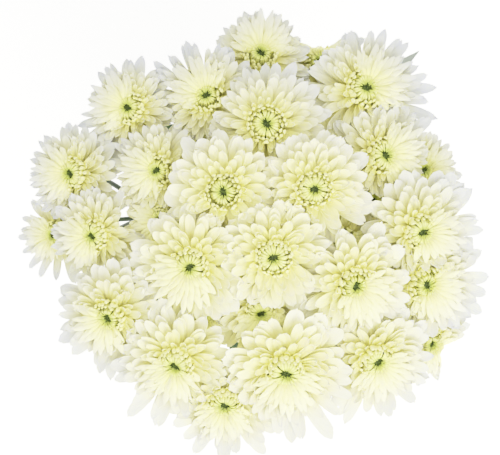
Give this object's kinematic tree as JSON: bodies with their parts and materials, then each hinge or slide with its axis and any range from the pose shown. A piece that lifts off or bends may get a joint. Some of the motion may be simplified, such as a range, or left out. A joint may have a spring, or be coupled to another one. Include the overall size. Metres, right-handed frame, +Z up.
{
  "type": "bunch of chrysanthemums",
  "caption": "Hand-tied bunch of white double spray chrysanthemums with a domed top, leafy green stems crossed in a spiral at a twine tie, standing on its cut ends.",
  "frame": {"origin": "on the ground under the middle of the tie, which is under the middle of the dome of blooms", "axes": "+Z up, from the cut ends to the blooms; the picture looks down along -Z with +Y at its top"},
  "size_m": [0.2851, 0.2707, 0.3555],
  "materials": {
    "petals": "soft matt petals, white at the tips, cream to lime towards the middle",
    "stems_and_leaves": "matt green stems and leaves, a little downy",
    "twine": "rough natural twine"
  },
  "bodies": {
    "root": {"bloom_01": "petals", "bloom_02": "petals", "bloom_03": "petals", "bloom_04": "petals", "bloom_05": "petals", "bloom_06": "petals", "bloom_07": "petals", "bloom_08": "petals", "bloom_09": "petals", "bloom_10": "petals", "bloom_11": "petals", "bloom_12": "petals", "bloom_13": "petals", "bloom_14": "petals", "bloom_15": "petals", "bloom_16": "petals", "bloom_17": "petals", "bloom_18": "petals", "bloom_19": "petals", "bloom_20": "petals", "bloom_21": "petals", "bloom_22": "petals", "bloom_23": "petals", "bloom_24": "petals", "bloom_25": "petals", "bloom_26": "petals", "bloom_27": "petals", "bloom_28": "petals", "bloom_29": "petals", "bloom_30": "petals", "bloom_31": "petals", "bloom_32": "petals", "spray_inner_east": "stems_and_leaves", "spray_inner_north": "stems_and_leaves", "spray_inner_south": "stems_and_leaves", "spray_east": "stems_and_leaves", "spray_north_east": "stems_and_leaves", "spray_north": "stems_and_leaves", "spray_north_west": "stems_and_leaves", "spray_west": "stems_and_leaves", "spray_south_west": "stems_and_leaves", "spray_south": "stems_and_leaves", "spray_south_east": "stems_and_leaves", "twine_tie": "twine"}
  },
  "joints": []
}
